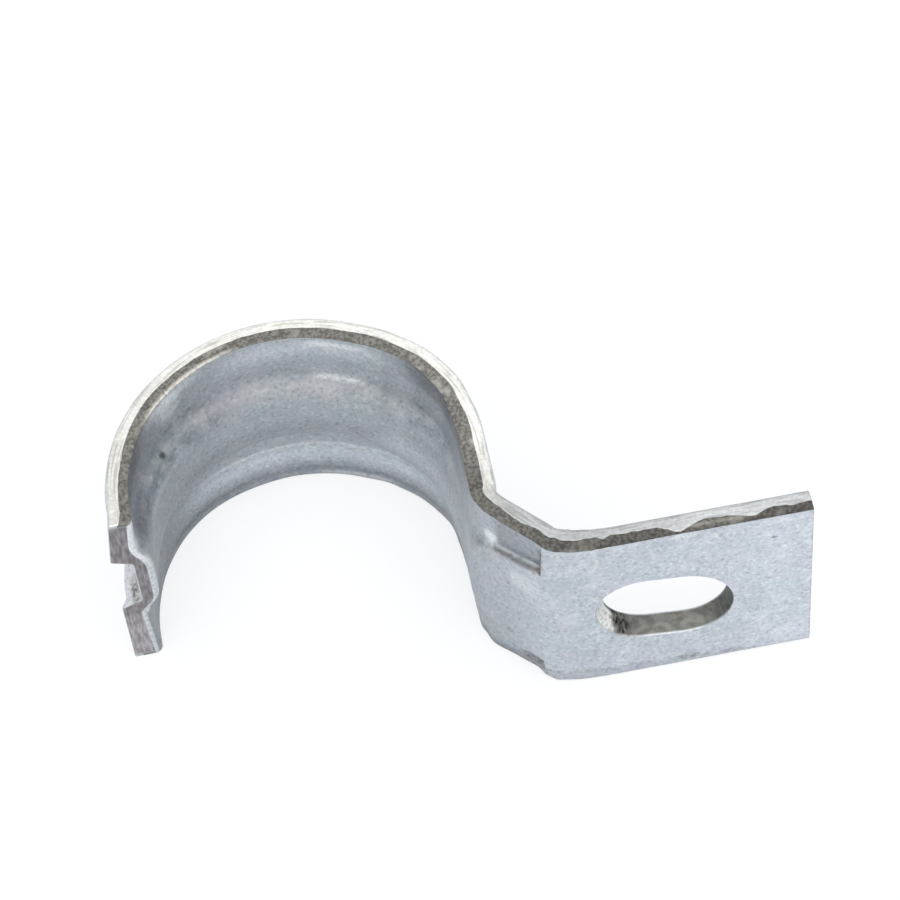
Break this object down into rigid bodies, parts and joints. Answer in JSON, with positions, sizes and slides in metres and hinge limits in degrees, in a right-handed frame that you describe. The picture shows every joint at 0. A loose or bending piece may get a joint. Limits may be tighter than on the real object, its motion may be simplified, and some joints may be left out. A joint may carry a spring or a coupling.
{
  "type": "conduit strap",
  "caption": "Pressed steel conduit strap: a ribbed hook-shaped hoop that grips a conduit, bent down to a flat slotted foot for fixing it to a wall.",
  "frame": {"origin": "on the conduit's axis, half-way along the strap's width", "axes": "+Z along the conduit, +X along the foot to its cut end, +Y away from the wall that the strap is fixed to"},
  "size_m": [0.0615, 0.0305, 0.0222],
  "materials": {
    "galvanised_steel": "pre-galvanised sheet, mottled and slightly scuffed by the press, bare sheared edges"
  },
  "bodies": {
    "root": {"strap": "galvanised_steel"}
  },
  "joints": []
}
